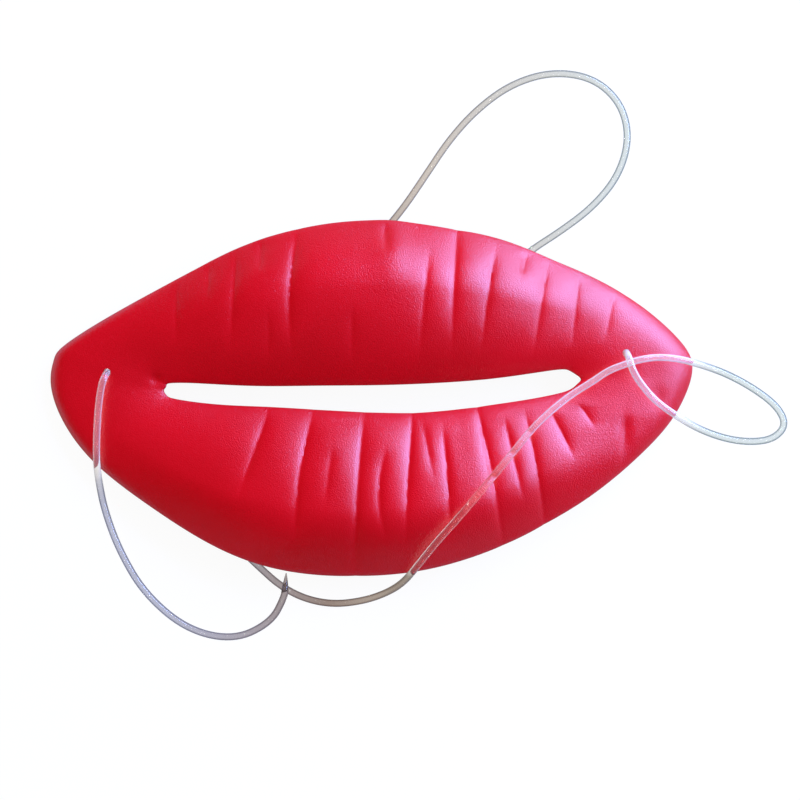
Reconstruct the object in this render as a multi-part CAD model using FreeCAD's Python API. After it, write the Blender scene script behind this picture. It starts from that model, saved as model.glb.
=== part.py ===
import FreeCAD, Part
import math
import os

V = FreeCAD.Vector

# Driving dimensions in millimetres. +X runs along the mouth, +Y to the upper lip, +Z out of the face.
# The lips lie face up with the two mouth corners on the table at z = 0.
SHEET = 2.0         # thickness of the foam sheet
CORNER_X = 90.0     # half the width of the mouth, corner to corner
RISE = 10.0         # bow of the rim over the face: its middle above its corners
REST_DIP = 1.2      # depth of sheet cut away under the corners to leave the rest faces
PUFF_MID = 11.0     # crest above the rim at the middle of the mouth
PUFF_END = 3.5      # crest above the rim at the corners
DIP_MID = 10.0      # crest above the mouth slot at the middle of the mouth
DIP_END = 2.5       # crest above the mouth slot at the corners
CREST = 0.42        # place of the crest, from the rim (0) to the slot (1)
RIM_TURN = math.radians(40)     # part of a quarter round left off at the rim
SLOT_TURN = math.radians(48)    # part of a quarter round left off at the mouth slot
CORD_D = 2.0        # clear elastic cord
CORD_SIDES = 8      # flat sides of the cord's section
HOLE_D = 2.2        # punched corner holes
FRONT_STEPS = (6, 6)    # control points between two stations, and from the rim to the slot
BACK_STEPS = (1, 6)     # the same for the smooth back

# Stations round the mouth, anticlockwise from the right corner: rim x, rim y, slot x, slot y.
STATIONS = (
    (90.3, 4.6, 59.3, 2.8),
    (87.7, 12.0, 58.9, 4.4),
    (77.0, 22.4, 57.2, 5.6),
    (64.0, 30.8, 52.5, 5.9),
    (52.5, 36.2, 43.5, 5.0),
    (38.0, 42.4, 32.0, 4.0),
    (21.5, 46.4, 18.0, 3.5),
    (2.5, 48.9, 2.0, 3.5),
    (-17.0, 47.6, -14.0, 3.9),
    (-34.0, 43.3, -28.0, 4.2),
    (-48.0, 37.2, -40.0, 4.9),
    (-61.5, 30.7, -50.0, 5.7),
    (-76.0, 23.8, -56.2, 5.8),
    (-87.9, 16.4, -58.0, 5.0),
    (-89.9, 7.0, -58.5, 3.8),
    (-87.0, -3.2, -57.8, 2.6),
    (-78.0, -15.8, -55.5, 1.6),
    (-63.0, -28.2, -49.5, 0.3),
    (-48.5, -38.0, -40.0, -1.0),
    (-34.0, -44.9, -28.0, -2.0),
    (-17.0, -48.7, -14.0, -3.3),
    (2.0, -49.4, 2.0, -4.6),
    (19.0, -47.3, 16.0, -4.9),
    (36.0, -42.1, 30.0, -3.8),
    (50.5, -35.3, 42.0, -2.5),
    (64.5, -26.8, 51.5, -1.0),
    (79.8, -14.0, 57.3, 0.5),
    (87.6, -3.4, 58.9, 1.6),
)

# Pressed creases: x at the upper end, middle and lower end, y at both ends, depth, width left and right.
CREASES = (
    (5.5, 5.6, 5.8, 47.5, 40.0, 0.6, 3.0, 2.0),
    (-19.2, -21.4, -21.7, 45.5, 17.0, 1.1, 3.0, 3.0),
    (-29.2, -29.5, -29.8, 44.5, 36.5, 0.5, 2.5, 2.0),
    (-36.4, -37.3, -38.2, 40.0, 18.0, 0.7, 2.5, 2.5),
    (-44.0, -44.3, -44.6, 38.5, 29.0, 0.4, 2.0, 2.0),
    (-53.3, -53.5, -53.6, 32.5, 18.0, 0.4, 2.5, 2.0),
    (-27.4, -27.7, -28.0, 24.0, 12.0, 0.3, 2.5, 2.0),
    (-4.3, -4.6, -4.9, 24.0, 11.5, 0.4, 2.5, 2.0),
    (17.5, 15.7, 14.1, 39.0, 13.5, 0.8, 3.5, 2.5),
    (25.6, 24.2, 23.0, 45.0, 16.0, 1.2, 3.5, 2.5),
    (35.8, 33.5, 31.4, 38.0, 17.0, 0.9, 3.5, 2.0),
    (44.6, 43.9, 43.2, 38.5, 32.5, 0.5, 2.0, 2.0),
    (50.4, 48.2, 46.0, 34.0, 15.5, 0.9, 3.5, 2.5),
    (59.0, 57.8, 56.6, 31.0, 15.0, 0.6, 3.0, 2.0),
    (68.6, 67.3, 66.0, 26.0, 14.5, 0.6, 3.0, 2.0),
    (-29.0, -33.0, -36.6, -4.0, -23.5, 1.0, 3.5, 2.0),
    (-16.8, -20.6, -22.2, -5.5, -36.5, 1.3, 4.0, 2.0),
    (-11.3, -12.4, -13.5, -14.5, -27.5, 0.5, 2.5, 1.5),
    (-2.4, -4.7, -6.0, -7.0, -47.0, 1.3, 4.0, 2.0),
    (3.4, 1.5, 1.0, -15.5, -39.5, 0.8, 3.0, 1.5),
    (11.2, 9.4, 7.8, -6.5, -38.0, 1.1, 3.5, 2.0),
    (14.1, 15.3, 16.3, -8.0, -21.5, 0.5, 2.0, 1.5),
    (19.7, 20.4, 20.6, -10.0, -36.0, 0.9, 3.0, 1.5),
    (29.4, 32.7, 34.8, -4.5, -38.5, 1.2, 4.0, 2.0),
    (37.1, 39.1, 41.0, -8.5, -28.0, 0.8, 3.0, 1.5),
    (43.0, 45.5, 47.0, -7.5, -36.0, 1.0, 3.5, 2.0),
    (50.0, 52.8, 55.2, -6.0, -17.5, 0.8, 3.0, 2.0),
    (58.2, 60.0, 61.5, -4.5, -10.0, 0.5, 2.5, 2.0),
    (70.7, 70.2, 69.6, -8.5, -20.0, 0.5, 3.0, 3.0),
)

# Corner holes: the middle of the sheet there, and the lean that the cord pulls each one to.
HOLE_LEFT = V(-73.2, 9.9, 6.9)
HOLE_RIGHT = V(71.4, 10.0, 7.1)
LEAN_LEFT = V(-0.45, -0.75, 1.0).normalize()
LEAN_RIGHT = V(0.05, -0.14, 1.0).normalize()
STUB = 3.0          # straight stretch of cord from the middle of the sheet to its first bend
HUMP = 5.0          # the same where the cord goes over its own return beside the right hole
TABLE = 1.05        # height of the cord's middle where it lies on the table

# One length of elastic in three stretches, as points of straight runs that arcs join.
LEFT_TAIL = (
    HOLE_LEFT,
    HOLE_LEFT + LEAN_LEFT * STUB,
    V(-75.3, 4.6, 9.0),
    V(-76.2, -1.0, 8.8),
    V(-76.9, -8.0, 8.3),
    V(-77.3, -15.2, 6.3),
    V(-77.2, -21.6, 2.4),
    V(-76.0, -29.4, TABLE),
    V(-72.4, -40.4, TABLE),
    V(-65.8, -52.8, TABLE),
    V(-54.3, -63.4, TABLE),
    V(-41.0, -66.9, TABLE),
    V(-30.4, -62.2, 1.6),
    V(-26.2, -54.5, 3.7),
    V(-25.6, -48.4, 3.7),
)
HEAD_LOOP = (
    HOLE_LEFT,
    HOLE_LEFT - LEAN_LEFT * STUB,
    V(-69.6, 14.2, 2.0),
    V(-63.0, 17.2, TABLE),
    V(-51.0, 22.4, TABLE),
    V(-36.0, 28.0, TABLE),
    V(-20.0, 32.8, TABLE),
    V(-7.0, 37.6, TABLE),
    V(2.6, 43.8, TABLE),
    V(10.4, 52.2, TABLE),
    V(17.4, 61.8, TABLE),
    V(24.4, 71.6, TABLE),
    V(32.6, 80.0, TABLE),
    V(42.4, 86.6, TABLE),
    V(53.8, 89.6, TABLE),
    V(65.2, 87.6, TABLE),
    V(72.8, 80.4, TABLE),
    V(75.0, 70.4, TABLE),
    V(71.6, 59.8, TABLE),
    V(64.0, 51.2, TABLE),
    V(54.5, 44.6, TABLE),
    V(45.6, 39.4, TABLE),
    V(39.2, 33.4, TABLE),
    V(37.4, 25.6, TABLE),
    V(41.8, 18.6, TABLE),
    V(50.0, 15.2, TABLE),
    V(59.0, 13.4, TABLE),
    V(66.4, 12.4, 1.8),
    HOLE_RIGHT - LEAN_RIGHT * STUB,
    HOLE_RIGHT,
)
RIGHT_TAIL = (
    HOLE_RIGHT,
    HOLE_RIGHT + LEAN_RIGHT * HUMP,
    V(72.8, 4.6, 11.8),
    V(75.6, 0.3, 9.5),
    V(79.3, -4.0, 7.7),
    V(84.4, -7.8, 4.8),
    V(91.4, -12.2, 2.3),
    V(99.6, -15.4, 1.2),
    V(107.0, -16.4, TABLE),
    V(112.8, -15.5, TABLE),
    V(116.2, -11.7, TABLE),
    V(113.7, -6.4, TABLE),
    V(107.3, -1.2, TABLE),
    V(99.7, 3.2, 1.6),
    V(92.3, 6.0, 3.2),
    V(86.2, 7.7, 5.4),
    V(80.4, 8.4, 7.4),
    V(75.2, 7.9, 8.8),
    V(70.6, 6.6, 9.4),
    V(66.0, 5.0, 9.4),
    V(61.2, 1.9, 9.3),
    V(56.1, -0.9, 9.8),
    V(50.7, -4.7, 12.0),
    V(44.6, -9.8, 14.9),
    V(37.4, -18.0, 18.4),
    V(29.8, -26.0, 20.7),
    V(22.4, -33.7, 21.3),
    V(15.8, -41.0, 19.5),
    V(10.8, -47.6, 14.7),
    V(6.7, -52.3, 8.8),
    V(1.6, -55.2, 4.2),
    V(-4.6, -57.1, 1.5),
    V(-12.6, -57.8, TABLE),
    V(-20.4, -56.1, TABLE),
    V(-27.3, -52.3, TABLE),
    V(-33.2, -46.6, TABLE),
    V(-39.0, -40.6, TABLE),
    V(-43.2, -33.8, TABLE),
)


def closed_curve(points):
    """Smooth closed curve with one unit of parameter from each point to the next."""
    count = len(points)
    knots = [float(i) for i in range(count + 1)]
    poles = [points[i - 1] for i in range(count)]
    curve = Part.BSplineCurve()
    for _ in range(30):
        curve.buildFromPolesMultsKnots(poles, [1] * len(knots), knots, True, 3)
        poles = [poles[i] + points[i - 1] - curve.value((i - 1) % count) for i in range(count)]
    return curve


RIM = closed_curve([V(s[0], s[1], 0) for s in STATIONS])
SLOT = closed_curve([V(s[2], s[3], 0) for s in STATIONS])
SLOT_END = max(s[2] for s in STATIONS)


def arch(x):
    """Height of the rim: a bow over the face, with the sheet's underside just below the table at the ends."""
    return SHEET - REST_DIP + RISE * (1 - (x / CORNER_X) ** 2)


def skin(u, v):
    """Smooth front of the lips: u round the mouth, v from the rim (0) over the crest to the slot (1)."""
    u = u % len(STATIONS)
    rim = RIM.value(u)
    slot = SLOT.value(u)
    middle = max(0.0, 1 - (slot.x / SLOT_END) ** 2)
    puff = PUFF_END + (PUFF_MID - PUFF_END) * middle
    dip = DIP_END + (DIP_MID - DIP_END) * middle
    turn = RIM_TURN + (math.pi - RIM_TURN - SLOT_TURN) * v
    if turn < math.pi / 2:
        across = CREST * (1 - math.cos(turn) / math.cos(RIM_TURN))
        fall = puff * (1 - math.sin(turn)) / (1 - math.sin(RIM_TURN))
    else:
        across = CREST - (1 - CREST) * math.cos(turn) / math.cos(SLOT_TURN)
        fall = dip * (1 - math.sin(turn)) / (1 - math.sin(SLOT_TURN))
    p = rim + (slot - rim) * across
    p.z = arch(p.x) + puff - fall
    return p


def normal(u, v):
    """Outward normal of the smooth front."""
    lo = max(0.0, v - 0.01)
    hi = min(1.0, v + 0.01)
    n = (skin(u + 0.02, v) - skin(u - 0.02, v)).cross(skin(u, hi) - skin(u, lo))
    return n.normalize()


def crease_depth(p):
    """Depth of the pressed creases under a point of the front."""
    depth = 0.0
    for x_up, x_mid, x_low, y_up, y_low, deep, left, right in CREASES:
        along = (p.y - y_up) / (y_low - y_up)
        fade = min(1.0, max(0.0, min(along + 0.15, 1.15 - along) / 0.4))
        line = x_up + (x_low - x_up) * along + 4 * (x_mid - (x_up + x_low) / 2) * along * (1 - along)
        off = p.x - line
        if off < 0:
            share = math.exp(off / left)
        else:
            share = math.exp(-off / right)
        depth += deep * fade * fade * (3 - 2 * fade) * share
    return depth


def ring_surface(steps, place):
    """Surface that closes on itself round the mouth, through control points given by place(u, v)."""
    steps_u, steps_v = steps
    count = len(STATIONS) * steps_u
    poles = [[place((i - 1) / steps_u, j / steps_v) for j in range(steps_v + 1)] for i in range(count)]
    u_knots = [i / steps_u for i in range(count + 1)]
    v_knots = [float(j) for j in range(steps_v - 1)]
    v_mults = [4] + [1] * (steps_v - 3) + [4]
    surface = Part.BSplineSurface()
    surface.buildFromPolesMultsKnots(
        poles, [1] * len(u_knots), v_mults, u_knots, v_knots, True, False, 3, 3
    )
    return surface


def front_point(u, v):
    """Control point of the creased front."""
    p = skin(u, v)
    return p - normal(u, v) * crease_depth(p)


def back_point(u, v):
    """Control point of the back, one sheet thickness under the smooth front."""
    return skin(u, v) - normal(u, v) * SHEET


def lips():
    """Formed foam sheet: creased front, smooth back, cut rim and slot edges, rest faces and holes."""
    front = ring_surface(FRONT_STEPS, front_point)
    back = ring_surface(BACK_STEPS, back_point)
    faces = [front.toShape(), back.toShape()]
    for end in (0.0, 1.0):
        front_edge = front.vIso(end * (FRONT_STEPS[1] - 2)).toShape()
        back_edge = back.vIso(end * (BACK_STEPS[1] - 2)).toShape()
        faces.append(Part.makeRuledSurface(front_edge, back_edge))
    shell = Part.makeShell(faces)
    shell.sewShape()
    solid = Part.makeSolid(shell)
    if solid.Volume < 0:
        solid.reverse()
    below = Part.makeBox(240, 160, 20, V(-120, -80, -20))
    solid = solid.cut(below)
    for hole, lean in ((HOLE_LEFT, LEAN_LEFT), (HOLE_RIGHT, LEAN_RIGHT)):
        solid = solid.cut(Part.makeCylinder(HOLE_D / 2, 12, hole - lean * 6, lean))
    return solid.Solids[0]


def cord_section(start, ahead):
    """Flat-sided section of the cord, square to its first run."""
    side = ahead.cross(V(0, 0, 1) if abs(ahead.z) < 0.5 else V(1, 0, 0)).normalize()
    up = side.cross(ahead).normalize()
    corners = []
    for i in range(CORD_SIDES + 1):
        turn = 2 * math.pi * (i % CORD_SIDES) / CORD_SIDES
        corners.append(start + (side * math.cos(turn) + up * math.sin(turn)) * (CORD_D / 2))
    return Part.Face(Part.makePolygon(corners))


def cord(name, points):
    """Cord along straight runs joined by tangent arcs."""
    edges = []
    radii = []
    start = points[0]
    for before, corner, after in zip(points, points[1:], points[2:]):
        run_in = corner - before
        run_out = after - corner
        trim = 0.45 * min(run_in.Length, run_out.Length)
        half = run_in.getAngle(run_out) / 2
        run_in.normalize()
        run_out.normalize()
        radius = trim / math.tan(half)
        inward = (run_out - run_in).normalize()
        arc_in = corner - run_in * trim
        arc_mid = corner + inward * (radius / math.cos(half) - radius)
        arc_out = corner + run_out * trim
        edges.append(Part.LineSegment(start, arc_in).toShape())
        edges.append(Part.Arc(arc_in, arc_mid, arc_out).toShape())
        radii.append(radius)
        start = arc_out
    edges.append(Part.LineSegment(start, points[-1]).toShape())
    path = Part.Wire(edges)
    section = cord_section(points[0], points[1] - points[0])
    solid = path.makePipe(section)
    ratio = solid.Volume / (section.Area * path.Length)
    print(name, "length", round(path.Length, 1), "least radius", round(min(radii), 2), "volume", round(ratio, 4))
    print("  radii", [round(r, 1) for r in radii])
    return solid


def main():
    os.makedirs("parts", exist_ok=True)
    pieces = {
        "lips": lips(),
        "cord_left_tail": cord("cord_left_tail", LEFT_TAIL),
        "cord_head_loop": cord("cord_head_loop", HEAD_LOOP),
        "cord_right_tail": cord("cord_right_tail", RIGHT_TAIL),
    }
    for name, shape in pieces.items():
        print(name, shape.ShapeType, shape.isValid(), round(shape.Volume, 1))
        shape.exportStep("parts/" + name + ".step")


main()
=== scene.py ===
import math
import bpy
import numpy as np
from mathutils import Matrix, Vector


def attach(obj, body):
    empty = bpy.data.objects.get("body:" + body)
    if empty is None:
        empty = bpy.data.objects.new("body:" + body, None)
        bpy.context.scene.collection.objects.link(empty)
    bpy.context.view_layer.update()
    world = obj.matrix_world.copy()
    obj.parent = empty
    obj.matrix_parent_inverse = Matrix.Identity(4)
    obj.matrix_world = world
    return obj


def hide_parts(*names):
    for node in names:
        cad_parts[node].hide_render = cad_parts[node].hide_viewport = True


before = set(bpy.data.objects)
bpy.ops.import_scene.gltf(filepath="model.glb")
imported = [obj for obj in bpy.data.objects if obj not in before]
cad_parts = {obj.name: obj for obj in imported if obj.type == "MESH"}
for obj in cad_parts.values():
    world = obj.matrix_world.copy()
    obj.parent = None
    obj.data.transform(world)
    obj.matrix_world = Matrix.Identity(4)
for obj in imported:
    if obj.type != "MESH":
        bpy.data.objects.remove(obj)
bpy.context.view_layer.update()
V = Vector

# Sizes in metres. +X runs along the mouth, +Y to the upper lip, +Z out of the face, table at z = 0.
SHEET = 0.0020              # thickness of the foam sheet
CORNER_X = 0.0900           # half the width of the mouth, corner to corner
RISE = 0.0100               # bow of the rim over the face: its middle above its corners
REST_DIP = 0.0007           # depth of sheet cut away flat under the corners
PUFF_MID = 0.01005          # crest above the rim at the middle of the mouth
PUFF_END = 0.00285          # crest above the rim at the corners
DIP_MID = 0.00955           # crest above the mouth slot at the middle of the mouth
DIP_END = 0.00235           # crest above the mouth slot at the corners
CREST = 0.42                # place of the crest, from the rim (0) to the slot (1)
RIM_TURN = math.radians(40)     # part of a quarter round left off at the rim
SLOT_TURN = math.radians(48)    # part of a quarter round left off at the mouth slot
EDGE_ROUND = 0.0009         # rounding of the cut edges
EDGE_ROW = 0.045            # first and last row of faces, as a share of the way from the rim to the slot
RIM_SPARE = 0.015           # share of the way left past the rim, which the rounding takes off again
SLOT_SPARE = 0.010          # the same at the slot
FLANK = 0.5                 # how straight the flank falls from the crest to the rim: 1 is straightest
CORNER_HOLD = 6             # how closely the flat corners keep to the two ends of the mouth
PLATEAU_LEFT = 12           # how sharply the flat left corner turns down at the rim
PLATEAU_RIGHT = 4.5         # the same at the right corner, which is rounder
CORD_D = 0.0020             # clear elastic cord
HOLE_D = 0.0022             # punched corner holes
PUNCH_LENGTH = 0.012        # tool that cuts them
PUNCH_SIDES = 48
CREASE_START = 0.15         # a crease begins this share of its length above its upper end,
CREASE_RISE = 0.40          # and is at full depth after this share
CREASE_END = 1.25           # it is gone at this share of its length below its upper end,
CREASE_FALL = 0.70          # and begins to fade this share before
FOLD = 0.0006               # width of the sharp fold along the bottom of a crease
FOLD_SHARE = 0.2            # its depth, as a share of the crease's
COLUMNS = 928               # mesh faces round the mouth
ROWS = 40                   # mesh faces from the rim to the slot
EDGE_ANGLE = math.radians(55)       # edges sharper than this are cut edges, and are rounded
SMOOTH_ANGLE = math.radians(40)     # faces that meet at less than this are shaded as one surface

# Stations round the mouth, anticlockwise from the right corner: rim x, rim y, slot x, slot y.
STATIONS = np.array((
    (0.0903, 0.0046, 0.0588, 0.0029),
    (0.0877, 0.0120, 0.0578, 0.0040),
    (0.0770, 0.0224, 0.0557, 0.0054),
    (0.0640, 0.0308, 0.0525, 0.0059),
    (0.0525, 0.0362, 0.0435, 0.0050),
    (0.0380, 0.0424, 0.0320, 0.0040),
    (0.0215, 0.0464, 0.0180, 0.0035),
    (0.0025, 0.0489, 0.0020, 0.0035),
    (-0.0170, 0.0476, -0.0140, 0.0039),
    (-0.0340, 0.0433, -0.0280, 0.0042),
    (-0.0480, 0.0372, -0.0400, 0.0049),
    (-0.0615, 0.0307, -0.0500, 0.0057),
    (-0.0760, 0.0233, -0.0562, 0.0058),
    (-0.0862, 0.0171, -0.0573, 0.0052),
    (-0.0889, 0.0132, -0.0577, 0.0045),
    (-0.0899, 0.0070, -0.0580, 0.0038),
    (-0.0870, -0.0032, -0.0573, 0.0026),
    (-0.0780, -0.0158, -0.0555, 0.0016),
    (-0.0630, -0.0282, -0.0495, 0.0003),
    (-0.0485, -0.0380, -0.0400, -0.0010),
    (-0.0340, -0.0449, -0.0280, -0.0020),
    (-0.0170, -0.0487, -0.0140, -0.0033),
    (0.0020, -0.0494, 0.0020, -0.0046),
    (0.0190, -0.0473, 0.0160, -0.0049),
    (0.0360, -0.0421, 0.0300, -0.0038),
    (0.0505, -0.0353, 0.0420, -0.0025),
    (0.0645, -0.0268, 0.0515, -0.0010),
    (0.0798, -0.0140, 0.0560, 0.0004),
    (0.0876, -0.0034, 0.0579, 0.0019),
))
SLOT_END = STATIONS[:, 2].max()

# Pressed creases: x at the upper end, middle and lower end, y at both ends, depth, width left and right.
CREASES = (
    (0.0055, 0.0056, 0.0058, 0.0475, 0.0400, 0.0006, 0.0030, 0.0020),
    (-0.0192, -0.0214, -0.0217, 0.0455, 0.0170, 0.0011, 0.0030, 0.0030),
    (-0.0292, -0.0295, -0.0298, 0.0445, 0.0365, 0.0005, 0.0025, 0.0020),
    (-0.0364, -0.0373, -0.0382, 0.0400, 0.0180, 0.0007, 0.0025, 0.0025),
    (-0.0440, -0.0443, -0.0446, 0.0385, 0.0290, 0.0004, 0.0020, 0.0020),
    (-0.0533, -0.0535, -0.0536, 0.0325, 0.0180, 0.0004, 0.0025, 0.0020),
    (-0.0274, -0.0277, -0.0280, 0.0240, 0.0120, 0.0003, 0.0025, 0.0020),
    (-0.0043, -0.0046, -0.0049, 0.0240, 0.0115, 0.0004, 0.0025, 0.0020),
    (0.0175, 0.0157, 0.0141, 0.0390, 0.0135, 0.0007, 0.0040, 0.0025),
    (0.0256, 0.0242, 0.0230, 0.0460, 0.0160, 0.0011, 0.0038, 0.0025),
    (0.0358, 0.0335, 0.0314, 0.0390, 0.0150, 0.0009, 0.0038, 0.0025),
    (0.0446, 0.0439, 0.0432, 0.0385, 0.0325, 0.0005, 0.0020, 0.0020),
    (0.0504, 0.0482, 0.0460, 0.0350, 0.0130, 0.0008, 0.0036, 0.0026),
    (0.0590, 0.0578, 0.0566, 0.0310, 0.0140, 0.0006, 0.0030, 0.0022),
    (0.0686, 0.0673, 0.0660, 0.0260, 0.0145, 0.0005, 0.0030, 0.0020),
    (-0.0290, -0.0330, -0.0366, -0.0040, -0.0235, 0.0011, 0.0040, 0.0030),
    (-0.0168, -0.0206, -0.0222, -0.0055, -0.0365, 0.0014, 0.0040, 0.0035),
    (-0.0113, -0.0124, -0.0135, -0.0145, -0.0275, 0.0005, 0.0025, 0.0015),
    (-0.0024, -0.0047, -0.0060, -0.0070, -0.0470, 0.0014, 0.0040, 0.0035),
    (0.0034, 0.0013, 0.0022, -0.0155, -0.0365, 0.0009, 0.0025, 0.0020),
    (0.0112, 0.0096, 0.0084, -0.0065, -0.0370, 0.0012, 0.0035, 0.0025),
    (0.0141, 0.0153, 0.0163, -0.0080, -0.0215, 0.0005, 0.0020, 0.0015),
    (0.0197, 0.0204, 0.0206, -0.0100, -0.0360, 0.0009, 0.0030, 0.0015),
    (0.0294, 0.0327, 0.0348, -0.0045, -0.0385, 0.0012, 0.0022, 0.0035),
    (0.0371, 0.0391, 0.0410, -0.0085, -0.0280, 0.0008, 0.0030, 0.0015),
    (0.0430, 0.0455, 0.0470, -0.0075, -0.0360, 0.0010, 0.0035, 0.0025),
    (0.0500, 0.0528, 0.0552, -0.0060, -0.0175, 0.0008, 0.0030, 0.0020),
    (0.0582, 0.0600, 0.0615, -0.0045, -0.0100, 0.0005, 0.0025, 0.0020),
    (0.0707, 0.0702, 0.0696, -0.0085, -0.0200, 0.0005, 0.0030, 0.0030),
)

# Soft dents, and one swelling whose depth is below zero: x, y, depth, and the spread along x and y.
DENTS = (
    (0.0070, 0.0415, -0.0007, 0.0050, 0.0090),
    (-0.0598, 0.0068, 0.0005, 0.0014, 0.0016),
    (0.0706, -0.0125, 0.0004, 0.0016, 0.0050),
    (0.0800, -0.0030, 0.0004, 0.0022, 0.0030),
    (0.0240, -0.0140, 0.00045, 0.0045, 0.0070),
    (0.0350, -0.0080, 0.0002, 0.0040, 0.0006),
    (0.0420, -0.0066, 0.0002, 0.0045, 0.0006),
)

# Corner holes: the middle of the sheet there, and the lean that the cord pulls each one to.
HOLE_LEFT = V((-0.0732, 0.0099, 0.0069))
HOLE_RIGHT = V((0.0714, 0.0100, 0.0071))
LEAN_LEFT = V((-0.45, -0.75, 1.0)).normalized()
LEAN_RIGHT = V((0.05, -0.14, 1.0)).normalized()
STUB = 0.0030               # straight stretch of cord from the middle of the sheet to its first bend
HUMP = 0.0050               # the same where the cord goes over its own return beside the right hole
CORD_REST = 0.00105         # height of the cord's middle where it lies on the table

# The one length of elastic in its three stretches.
LEFT_TAIL = (
    HOLE_LEFT,
    HOLE_LEFT + LEAN_LEFT * STUB,
    V((-0.0753, 0.0046, 0.0090)),
    V((-0.0762, -0.0010, 0.0088)),
    V((-0.0769, -0.0080, 0.0083)),
    V((-0.0773, -0.0152, 0.0074)),
    V((-0.0772, -0.0216, 0.0024)),
    V((-0.0760, -0.0294, CORD_REST)),
    V((-0.0724, -0.0404, CORD_REST)),
    V((-0.0658, -0.0528, CORD_REST)),
    V((-0.0543, -0.0634, CORD_REST)),
    V((-0.0410, -0.0669, CORD_REST)),
    V((-0.0304, -0.0622, 0.0016)),
    V((-0.0264, -0.0552, 0.0037)),
    V((-0.0260, -0.0524, 0.0037)),
    V((-0.0256, -0.0484, 0.0037)),
)
HEAD_LOOP = (
    HOLE_LEFT,
    HOLE_LEFT - LEAN_LEFT * STUB,
    V((-0.0696, 0.0142, 0.0020)),
    V((-0.0630, 0.0172, CORD_REST)),
    V((-0.0510, 0.0224, CORD_REST)),
    V((-0.0360, 0.0280, CORD_REST)),
    V((-0.0200, 0.0328, CORD_REST)),
    V((-0.0070, 0.0376, CORD_REST)),
    V((0.0026, 0.0438, CORD_REST)),
    V((0.0104, 0.0522, CORD_REST)),
    V((0.0174, 0.0618, CORD_REST)),
    V((0.0244, 0.0716, CORD_REST)),
    V((0.0326, 0.0800, CORD_REST)),
    V((0.0424, 0.0866, CORD_REST)),
    V((0.0538, 0.0896, CORD_REST)),
    V((0.0652, 0.0876, CORD_REST)),
    V((0.0728, 0.0804, CORD_REST)),
    V((0.0750, 0.0704, CORD_REST)),
    V((0.0716, 0.0598, CORD_REST)),
    V((0.0640, 0.0512, CORD_REST)),
    V((0.0545, 0.0446, CORD_REST)),
    V((0.0456, 0.0394, CORD_REST)),
    V((0.0392, 0.0334, CORD_REST)),
    V((0.0374, 0.0256, CORD_REST)),
    V((0.0418, 0.0186, CORD_REST)),
    V((0.0500, 0.0152, CORD_REST)),
    V((0.0590, 0.0134, CORD_REST)),
    V((0.0664, 0.0124, 0.0018)),
    HOLE_RIGHT - LEAN_RIGHT * STUB,
    HOLE_RIGHT,
)
RIGHT_TAIL = (
    HOLE_RIGHT,
    HOLE_RIGHT + LEAN_RIGHT * HUMP,
    V((0.0728, 0.0046, 0.0118)),
    V((0.0756, 0.0003, 0.0095)),
    V((0.0793, -0.0040, 0.0077)),
    V((0.0844, -0.0078, 0.0057)),
    V((0.0914, -0.0122, 0.0023)),
    V((0.0996, -0.0154, 0.0012)),
    V((0.1070, -0.0164, CORD_REST)),
    V((0.1128, -0.0155, CORD_REST)),
    V((0.1162, -0.0117, CORD_REST)),
    V((0.1137, -0.0064, CORD_REST)),
    V((0.1073, -0.0012, CORD_REST)),
    V((0.0997, 0.0032, 0.0016)),
    V((0.0923, 0.0060, 0.0032)),
    V((0.0862, 0.0077, 0.0063)),
    V((0.0804, 0.0084, 0.0074)),
    V((0.0752, 0.0079, 0.0088)),
    V((0.0706, 0.0066, 0.0094)),
    V((0.0660, 0.0050, 0.0094)),
    V((0.0612, 0.0019, 0.0093)),
    V((0.0561, -0.0009, 0.0098)),
    V((0.0507, -0.0047, 0.0120)),
    V((0.0446, -0.0098, 0.0143)),
    V((0.0374, -0.0180, 0.0175)),
    V((0.0300, -0.0262, 0.0200)),
    V((0.0228, -0.0341, 0.0208)),
    V((0.0160, -0.0412, 0.0185)),
    V((0.0108, -0.0476, 0.0142)),
    V((0.0067, -0.0523, 0.0088)),
    V((0.0016, -0.0552, 0.0042)),
    V((-0.0046, -0.0571, 0.0015)),
    V((-0.0126, -0.0578, CORD_REST)),
    V((-0.0204, -0.0561, CORD_REST)),
    V((-0.0273, -0.0523, CORD_REST)),
    V((-0.0332, -0.0466, CORD_REST)),
    V((-0.0390, -0.0406, CORD_REST)),
    V((-0.0432, -0.0338, CORD_REST)),
)

# Camera straight above the lips, turned so that the mouth lies as it does in the photograph.
CAMERA_PLACE = V((0.00795, -0.00107, 0.900))
CAMERA_TURN = math.radians(-2)
CAMERA_LENS = 144.0

# The elastic's finish, which paints light: the stretch of x that its painted tones of shade and reflection
# run along, the heights over which it passes from the table to the lips, the y over which it passes off the
# lower lip, its tint on the lips, and the share of its cloudiness that it keeps on the table, where the
# cloudy edges are painted shade.
PAINTED_TONES_LEFT = -0.0900
PAINTED_TONES_RIGHT = 0.1100
LIFT_LOW = 0.0025
LIFT_HIGH = 0.0050
CHIN_OFF = -0.0500
CHIN_ON = -0.0475
ON_LIPS_TINT = (0.92, 0.88, 0.84, 1)
TABLE_CLOUD = 0.25

# The table: its size, its top just clear of the lips, and the grey that lights the lips from below. It is
# shown white, for the most part by glow, and gloss sees a smaller share of that glow.
TABLE_SIZE = 6.0
TABLE_TOP = -0.0002
TABLE_GREY = (0.35, 0.35, 0.35, 1)
TABLE_WHITE = (1.0, 1.0, 1.0, 1)
GLOW_SHARE = 0.93
GLOSS_SHARE = 0.15

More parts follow.
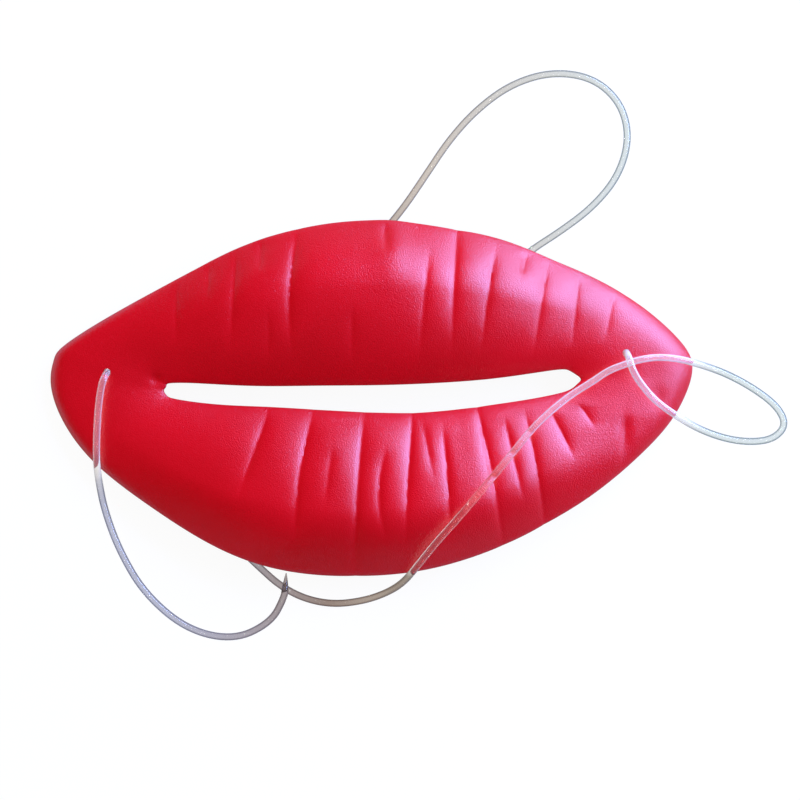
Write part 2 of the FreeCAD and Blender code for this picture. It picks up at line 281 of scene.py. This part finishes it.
# Lights: a wide soft one overhead that leans to the upper left, and a window to the upper right whose
# reflection is the sheen on the lips.
OVERHEAD_PLACE = V((-0.40, 0.30, 1.0))
OVERHEAD_POWER = 2.2
OVERHEAD_SPREAD = math.radians(120)
WINDOW_PLACE = V((0.670, 0.410, 0.430))
WINDOW_WIDTH = 1.0
WINDOW_HEIGHT = 0.55
WINDOW_POWER = 30.0
WINDOW_COLOUR = (0.28, 0.43, 0.94)
ROOM_LIGHT = 0.06
WARM_WHITE = (1.0, 0.97, 0.95)


def closed_curve(points):
    """Poles of the smooth closed curve that passes through the points at whole numbers."""
    spread = np.zeros(len(points))
    spread[0] = 4 / 6
    spread[1] = spread[-1] = 1 / 6
    return np.fft.ifft(np.fft.fft(points, axis=0) / np.fft.fft(spread)[:, None], axis=0).real


def on_curve(poles, u):
    """Points of a closed curve at the places u."""
    first = np.floor(u).astype(int)
    t = (u - first)[:, None]
    shares = ((1 - t) ** 3, 3 * t**3 - 6 * t**2 + 4, -3 * t**3 + 3 * t**2 + 3 * t + 1, t**3)
    return sum(share * poles[(first + k - 1) % len(poles)] for k, share in enumerate(shares)) / 6


def arch(x):
    """Height of the rim: a bow over the face, with the sheet's underside just below the table at the ends."""
    return SHEET - REST_DIP + RISE * (1 - (x / CORNER_X) ** 2)


def skin(u, v):
    """Smooth front of the lips: u round the mouth, v from the rim (0) over the crest to the slot (1)."""
    rim_and_slot = on_curve(closed_curve(STATIONS), u)
    rim = rim_and_slot[:, :2]
    slot = rim_and_slot[:, 2:]
    middle = np.clip(1 - (slot[:, 0] / SLOT_END) ** 2, 0, None)
    puff = PUFF_END + (PUFF_MID - PUFF_END) * middle
    dip = DIP_END + (DIP_MID - DIP_END) * middle
    turn = RIM_TURN + (math.pi - RIM_TURN - SLOT_TURN) * v
    outer = turn < math.pi / 2
    across = np.where(
        outer,
        CREST * (1 - np.cos(turn) / math.cos(RIM_TURN)),
        CREST - (1 - CREST) * np.cos(turn) / math.cos(SLOT_TURN),
    )
    corner = (1 - middle) ** CORNER_HOLD
    below_crest = np.clip(1 - across / CREST, 0, None)
    flank = below_crest**2 * (1 + FLANK * (1 - below_crest))
    plateau = below_crest ** np.where(rim[:, 0] < 0, PLATEAU_LEFT, PLATEAU_RIGHT)
    fall = np.where(
        outer,
        puff * (flank + (plateau - flank) * corner),
        dip * (1 - np.sin(turn)) / (1 - math.sin(SLOT_TURN)),
    )
    plan = rim + (slot - rim) * across[:, None]
    return np.column_stack((plan, arch(plan[:, 0]) + puff - fall))


def skin_normal(u, v):
    """Outward normal of the smooth front."""
    small = 0.01
    round_mouth = skin(u + small, v) - skin(u - small, v)
    over_crest = skin(u, v + small) - skin(u, v - small)
    n = np.cross(round_mouth, over_crest)
    return n / np.linalg.norm(n, axis=1)[:, None]


def crease_depth(p):
    """Depth of the pressed creases under points of the front."""
    depth = np.zeros(len(p))
    for x_up, x_mid, x_low, y_up, y_low, deep, left, right in CREASES:
        along = (p[:, 1] - y_up) / (y_low - y_up)
        line = x_up + (x_low - x_up) * along + 4 * (x_mid - (x_up + x_low) / 2) * along * (1 - along)
        off = p[:, 0] - line
        rise = (along + CREASE_START) / CREASE_RISE
        fall = (CREASE_END - along) / CREASE_FALL
        fade = np.clip(np.minimum(rise, fall), 0, 1)
        fade = fade * fade * (3 - 2 * fade)
        valley = np.exp(-np.where(off < 0, -off / left, off / right))
        fold = np.exp(-np.abs(off) / FOLD)
        depth += deep * fade * (valley + FOLD_SHARE * fold)
    return depth


def dent_depth(p):
    """Depth of the soft dents under points of the front."""
    depth = np.zeros(len(p))
    for x, y, deep, spread_x, spread_y in DENTS:
        depth += deep * np.exp(-(((p[:, 0] - x) / spread_x) ** 2) - ((p[:, 1] - y) / spread_y) ** 2)
    return depth


def deselect_all():
    bpy.ops.object.select_all(action="DESELECT")


def apply_modifier(piece, kind, **settings):
    """Adds one modifier with these settings and applies it."""
    modifier = piece.modifiers.new(kind, kind)
    for name, value in settings.items():
        setattr(modifier, name, value)
    bpy.context.view_layer.objects.active = piece
    bpy.ops.object.modifier_apply(modifier=modifier.name)


def lips():
    """Foam lips: a flat sheet laid over the mould, given its thickness, cut flat below and punched."""
    deselect_all()
    bpy.ops.mesh.primitive_grid_add(x_subdivisions=COLUMNS, y_subdivisions=ROWS, size=1, calc_uvs=True)
    piece = bpy.context.object
    piece.name = piece.data.name = "foam_lips"
    flat = np.zeros(len(piece.data.vertices) * 3)
    piece.data.vertices.foreach_get("co", flat)
    flat = flat.reshape(-1, 3) + 0.5
    u = flat[:, 0] * len(STATIONS)
    rows = (0, 1 / ROWS, 1 - 1 / ROWS, 1)
    v = np.interp(flat[:, 1], rows, (-RIM_SPARE, EDGE_ROW, 1 - EDGE_ROW, 1 + SLOT_SPARE))
    p = skin(u, v)
    depth = crease_depth(p) + dent_depth(p)
    p -= skin_normal(u, v) * depth[:, None]
    piece.data.vertices.foreach_set("co", p.ravel())
    # Joins the two ends of the sheet, which now meet, into a ring.
    bpy.ops.object.mode_set(mode="EDIT")
    bpy.ops.mesh.select_all(action="SELECT")
    bpy.ops.mesh.remove_doubles(threshold=1e-6)
    bpy.ops.object.mode_set(mode="OBJECT")
    piece.data.materials.append(foam_skin())
    piece.data.materials.append(foam_cut_edge())
    apply_modifier(piece, "SOLIDIFY", thickness=SHEET, offset=-1, use_even_offset=True, material_offset_rim=1)
    apply_modifier(
        piece, "BEVEL", width=EDGE_ROUND, segments=3, limit_method="ANGLE", angle_limit=EDGE_ANGLE,
    )
    bpy.ops.object.mode_set(mode="EDIT")
    bpy.ops.mesh.select_all(action="SELECT")
    bpy.ops.mesh.bisect(plane_co=(0, 0, 0), plane_no=(0, 0, 1), use_fill=True, clear_inner=True)
    bpy.ops.object.mode_set(mode="OBJECT")
    punch(piece, HOLE_LEFT, LEAN_LEFT)
    punch(piece, HOLE_RIGHT, LEAN_RIGHT)
    bpy.ops.object.shade_smooth_by_angle(angle=SMOOTH_ANGLE)
    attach(piece, "root")
    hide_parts("lips")


def punch(piece, hole, lean):
    """Cuts one round corner hole along the lean of the cord."""
    deselect_all()
    bpy.ops.mesh.primitive_cylinder_add(
        vertices=PUNCH_SIDES, radius=HOLE_D / 2, depth=PUNCH_LENGTH, location=hole,
        rotation=V((0, 0, 1)).rotation_difference(lean).to_euler(),
    )
    tool = bpy.context.object
    apply_modifier(piece, "BOOLEAN", object=tool, operation="DIFFERENCE", solver="EXACT")
    bpy.data.objects.remove(tool)
    deselect_all()
    piece.select_set(True)


def new_material(name):
    """New material, its nodes, its links and its shader."""
    material = bpy.data.materials.new(name)
    material.use_nodes = True
    tree = material.node_tree
    return material, tree.nodes, tree.links, tree.nodes["Principled BSDF"]


def colour_ramp(nodes, *stops):
    """Colour ramp through its stops, each a place and a colour."""
    node = nodes.new("ShaderNodeValToRGB")
    elements = node.color_ramp.elements
    elements[0].position = stops[0][0]
    elements[0].color = (*stops[0][1], 1)
    elements[1].position = stops[-1][0]
    elements[1].color = (*stops[-1][1], 1)
    for place, colour in stops[1:-1]:
        elements.new(place).color = (*colour, 1)
    return node


def map_range(nodes, start, end, low, high):
    """Node that turns values from start to end into values from low to high."""
    node = nodes.new("ShaderNodeMapRange")
    node.inputs["From Min"].default_value = start
    node.inputs["From Max"].default_value = end
    node.inputs["To Min"].default_value = low
    node.inputs["To Max"].default_value = high
    return node


def math_node(nodes, operation):
    """Node that joins two values by one operation."""
    node = nodes.new("ShaderNodeMath")
    node.operation = operation
    return node


def colour_mix(nodes):
    """Node that mixes two colours."""
    node = nodes.new("ShaderNodeMix")
    node.data_type = "RGBA"
    return node


def noise(nodes, scale, detail):
    """Noise of one scale."""
    node = nodes.new("ShaderNodeTexNoise")
    node.inputs["Scale"].default_value = scale
    node.inputs["Detail"].default_value = detail
    return node


def relief(nodes, strength, distance):
    """Bump of one depth."""
    node = nodes.new("ShaderNodeBump")
    node.inputs["Strength"].default_value = strength
    node.inputs["Distance"].default_value = distance
    return node


def foam_skin():
    """Satin skin of the red foam: fine pressed grain, with slightly deeper red in places."""
    material, nodes, links, shader = new_material("foam_skin")
    place = nodes.new("ShaderNodeTexCoord")
    cloud = noise(nodes, scale=45, detail=3)
    reds = colour_ramp(nodes, (0.3, (0.61, 0.001, 0.006)), (0.7, (0.68, 0.001, 0.008)))
    grain = noise(nodes, scale=3200, detail=2)
    bump = relief(nodes, strength=0.6, distance=0.0002)
    satin = map_range(nodes, 0, 1, 0.31, 0.38)
    shader.inputs["IOR"].default_value = 1.6
    shader.inputs["Specular IOR Level"].default_value = 0.7
    links.new(place.outputs["Object"], cloud.inputs["Vector"])
    links.new(place.outputs["Object"], grain.inputs["Vector"])
    links.new(cloud.outputs["Fac"], reds.inputs["Fac"])
    links.new(reds.outputs["Color"], shader.inputs["Base Color"])
    links.new(grain.outputs["Fac"], bump.inputs["Height"])
    links.new(bump.outputs["Normal"], shader.inputs["Normal"])
    links.new(grain.outputs["Fac"], satin.inputs["Value"])
    links.new(satin.outputs["Result"], shader.inputs["Roughness"])
    return material


def foam_cut_edge():
    """Cut edge of the foam: matt, with its open cells, and painted shade that darkens their pits."""
    material, nodes, links, shader = new_material("foam_cut_edge")
    place = nodes.new("ShaderNodeTexCoord")
    cells = nodes.new("ShaderNodeTexVoronoi")
    cells.inputs["Scale"].default_value = 3500
    # Darker where the cells sink: painted shade in their pits.
    reds = colour_ramp(nodes, (0, (0.36, 0.003, 0.012)), (1, (0.62, 0.02, 0.045)))
    bump = relief(nodes, strength=0.5, distance=0.0001)
    shader.inputs["Roughness"].default_value = 0.8
    links.new(place.outputs["Object"], cells.inputs["Vector"])
    links.new(cells.outputs["Distance"], reds.inputs["Fac"])
    links.new(reds.outputs["Color"], shader.inputs["Base Color"])
    links.new(cells.outputs["Distance"], bump.inputs["Height"])
    links.new(bump.outputs["Normal"], shader.inputs["Normal"])
    return material


def clear_elastic():
    """Clear glossy elastic with painted light: cloudy edges as painted highlights on the lips,
    and on the table a clear core between grey edges of painted shade.
    """
    material, nodes, links, shader = new_material("clear_elastic")
    shader.inputs["Roughness"].default_value = 0.05
    shader.inputs["IOR"].default_value = 1.46
    place = nodes.new("ShaderNodeTexCoord")
    part = nodes.new("ShaderNodeSeparateXYZ")
    edge = nodes.new("ShaderNodeLayerWeight")
    edge.inputs["Blend"].default_value = 0.5
    links.new(place.outputs["Object"], part.inputs["Vector"])

    # On the table its edges and its core run from bluish at the left through brown and beige to greenish:
    # painted shade and painted reflections along the cord.
    along = map_range(nodes, PAINTED_TONES_LEFT, PAINTED_TONES_RIGHT, 0, 1)
    edge_tones_painted_shade = colour_ramp(
        nodes,
        (0.15, (0.14, 0.15, 0.21)),
        (0.38, (0.12, 0.07, 0.05)),
        (0.53, (0.22, 0.18, 0.14)),
        (0.84, (0.16, 0.21, 0.20)),
    )
    core_tones_painted_shade_and_reflection = colour_ramp(
        nodes,
        (0.15, (0.52, 0.53, 0.64)),
        (0.38, (0.34, 0.26, 0.22)),
        (0.53, (0.66, 0.58, 0.49)),
        (0.84, (0.76, 0.82, 0.80)),
    )
    # Facing makes the core lighter and the edges darker: painted shade at the edges.
    core = map_range(nodes, 0.08, 0.36, 1, 0)
    on_table_painted_shade = colour_mix(nodes)
    links.new(part.outputs["X"], along.inputs["Value"])
    links.new(along.outputs["Result"], edge_tones_painted_shade.inputs["Fac"])
    links.new(along.outputs["Result"], core_tones_painted_shade_and_reflection.inputs["Fac"])
    links.new(edge.outputs["Facing"], core.inputs["Value"])
    links.new(core.outputs["Result"], on_table_painted_shade.inputs["Factor"])
    links.new(edge_tones_painted_shade.outputs["Color"], on_table_painted_shade.inputs["A"])
    links.new(core_tones_painted_shade_and_reflection.outputs["Color"], on_table_painted_shade.inputs["B"])

    # It is on the lips where it is lifted off the table and not yet past the lower lip, and there it keeps
    # its plain tint; on the table its colour is greyer with painted shade.
    lifted = map_range(nodes, LIFT_LOW, LIFT_HIGH, 0, 1)
    above_chin = map_range(nodes, CHIN_OFF, CHIN_ON, 0, 1)
    on_lips = math_node(nodes, "MULTIPLY")
    tint_and_painted_shade = colour_mix(nodes)
    tint_and_painted_shade.inputs["B"].default_value = ON_LIPS_TINT
    links.new(part.outputs["Z"], lifted.inputs["Value"])
    links.new(part.outputs["Y"], above_chin.inputs["Value"])
    links.new(lifted.outputs["Result"], on_lips.inputs[0])
    links.new(above_chin.outputs["Result"], on_lips.inputs[1])
    links.new(on_lips.outputs["Value"], tint_and_painted_shade.inputs["Factor"])
    links.new(on_table_painted_shade.outputs["Result"], tint_and_painted_shade.inputs["A"])
    links.new(tint_and_painted_shade.outputs["Result"], shader.inputs["Base Color"])

    # The cloudy share is largest at the edges, where it paints pale highlight lines on the lips and darker
    # edges on the table. On the lips it also changes from left to right, strongest at the right as a painted
    # sheen.
    rim = map_range(nodes, 0.10, 0.40, 0.20, 0.90)
    lips_cloud_painted_sheen = colour_ramp(
        nodes,
        (0.10, (0.30, 0.30, 0.30)),
        (0.60, (0.02, 0.02, 0.02)),
        (0.76, (0.65, 0.65, 0.65)),
    )
    amount = map_range(nodes, 0, 1, TABLE_CLOUD, 1)
    cloud = math_node(nodes, "MULTIPLY")
    clear = math_node(nodes, "SUBTRACT")
    clear.inputs[0].default_value = 1.0
    links.new(edge.outputs["Facing"], rim.inputs["Value"])
    links.new(along.outputs["Result"], lips_cloud_painted_sheen.inputs["Fac"])
    links.new(on_lips.outputs["Value"], amount.inputs["Value"])
    links.new(lips_cloud_painted_sheen.outputs["Color"], amount.inputs["To Max"])
    links.new(rim.outputs["Result"], cloud.inputs[0])
    links.new(amount.outputs["Result"], cloud.inputs[1])
    links.new(cloud.outputs["Value"], clear.inputs[1])
    links.new(clear.outputs["Value"], shader.inputs["Transmission Weight"])
    return material


def cord(name, node, route, finish, tip):
    """One stretch of the elastic along its route; tip is the share of its width left at the far end."""
    line = bpy.data.curves.new(name, "CURVE")
    line.dimensions = "3D"
    spline = line.splines.new("NURBS")
    spline.points.add(len(route) - 1)
    for point, place in zip(spline.points, route):
        point.co = (*place, 1)
    spline.points[-1].radius = tip
    spline.order_u = 3
    spline.use_endpoint_u = True
    line.resolution_u = 8
    line.bevel_depth = CORD_D / 2
    line.bevel_resolution = 5
    line.use_fill_caps = True
    piece = bpy.data.objects.new(name, line)
    bpy.context.scene.collection.objects.link(piece)
    piece.data.materials.append(finish)
    # Clear elastic lets the light on to what it lies on.
    piece.visible_shadow = False
    piece.visible_diffuse = False
    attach(piece, "root")
    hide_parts(node)


def floor():
    """Wide table, shown white, that keeps a faint shadow."""
    deselect_all()
    bpy.ops.mesh.primitive_plane_add(size=TABLE_SIZE, location=(0, 0, TABLE_TOP))
    table = bpy.context.object
    table.name = "table"
    material, nodes, links, shader = new_material("white_table")
    shader.inputs["Roughness"].default_value = 0.8
    path = nodes.new("ShaderNodeLightPath")
    shade = colour_mix(nodes)
    shade.inputs["A"].default_value = TABLE_GREY
    shade.inputs["B"].default_value = TABLE_WHITE
    in_gloss = math_node(nodes, "MULTIPLY")
    in_gloss.inputs[1].default_value = GLOSS_SHARE
    seen_or_gloss = math_node(nodes, "MAXIMUM")
    any_sight = math_node(nodes, "MAXIMUM")
    share = math_node(nodes, "MULTIPLY")
    share.inputs[1].default_value = GLOW_SHARE
    glow = nodes.new("ShaderNodeEmission")
    mix = nodes.new("ShaderNodeMixShader")
    links.new(path.outputs["Is Camera Ray"], shade.inputs["Factor"])
    links.new(shade.outputs["Result"], shader.inputs["Base Color"])
    links.new(path.outputs["Is Glossy Ray"], in_gloss.inputs[0])
    links.new(path.outputs["Is Camera Ray"], seen_or_gloss.inputs[0])
    links.new(in_gloss.outputs["Value"], seen_or_gloss.inputs[1])
    links.new(seen_or_gloss.outputs["Value"], any_sight.inputs[0])
    links.new(path.outputs["Is Transmission Ray"], any_sight.inputs[1])
    links.new(any_sight.outputs["Value"], share.inputs[0])
    links.new(share.outputs["Value"], mix.inputs["Fac"])
    links.new(shader.outputs["BSDF"], mix.inputs[1])
    links.new(glow.outputs["Emission"], mix.inputs[2])
    links.new(mix.outputs["Shader"], nodes["Material Output"].inputs["Surface"])
    table.data.materials.append(material)


def lamp(name, kind, place, power, colour):
    """A lamp that points at the lips."""
    data = bpy.data.lights.new(name, kind)
    data.energy = power
    data.color = colour
    light = bpy.data.objects.new(name, data)
    light.location = place
    light.rotation_euler = (-place).to_track_quat("-Z", "Y").to_euler()
    bpy.context.scene.collection.objects.link(light)
    return light


def lights():
    """Room light, the soft light overhead, which leaves no gloss, and the window."""
    world = bpy.data.worlds.new("room")
    bpy.context.scene.world = world
    world.use_nodes = True
    world.cycles_visibility.glossy = False
    nodes = world.node_tree.nodes
    links = world.node_tree.links
    nodes["Background"].inputs["Color"].default_value = (*WARM_WHITE, 1)
    # The room is white to the eye and through the elastic, and lights the lips only a little.
    path = nodes.new("ShaderNodeLightPath")
    seen = math_node(nodes, "MAXIMUM")
    strength = map_range(nodes, 0, 1, ROOM_LIGHT, 1)
    links.new(path.outputs["Is Camera Ray"], seen.inputs[0])
    links.new(path.outputs["Is Transmission Ray"], seen.inputs[1])
    links.new(seen.outputs["Value"], strength.inputs["Value"])
    links.new(strength.outputs["Result"], nodes["Background"].inputs["Strength"])
    overhead = lamp("overhead", "SUN", OVERHEAD_PLACE, OVERHEAD_POWER, WARM_WHITE)
    overhead.data.angle = OVERHEAD_SPREAD
    overhead.data.cycles.use_multiple_importance_sampling = False
    overhead.visible_glossy = False
    window = lamp("window", "AREA", WINDOW_PLACE, WINDOW_POWER, WINDOW_COLOUR)
    window.data.shape = "RECTANGLE"
    window.data.size = WINDOW_WIDTH
    window.data.size_y = WINDOW_HEIGHT
    window.visible_transmission = False


def camera():
    """Camera above the lips, with the plain view of colours."""
    view = bpy.data.cameras.new("camera")
    view.lens = CAMERA_LENS
    view.sensor_width = 36
    eye = bpy.data.objects.new("camera", view)
    eye.location = CAMERA_PLACE
    eye.rotation_euler = (0, 0, CAMERA_TURN)
    bpy.context.scene.collection.objects.link(eye)
    bpy.context.scene.camera = eye
    bpy.context.scene.view_settings.view_transform = "Standard"


lips()
elastic = clear_elastic()
cord("elastic_left_tail", "cord_left_tail", LEFT_TAIL, elastic, tip=0.15)
cord("elastic_head_loop", "cord_head_loop", HEAD_LOOP, elastic, tip=1.0)
cord("elastic_right_tail", "cord_right_tail", RIGHT_TAIL, elastic, tip=1.0)
floor()
lights()
camera()
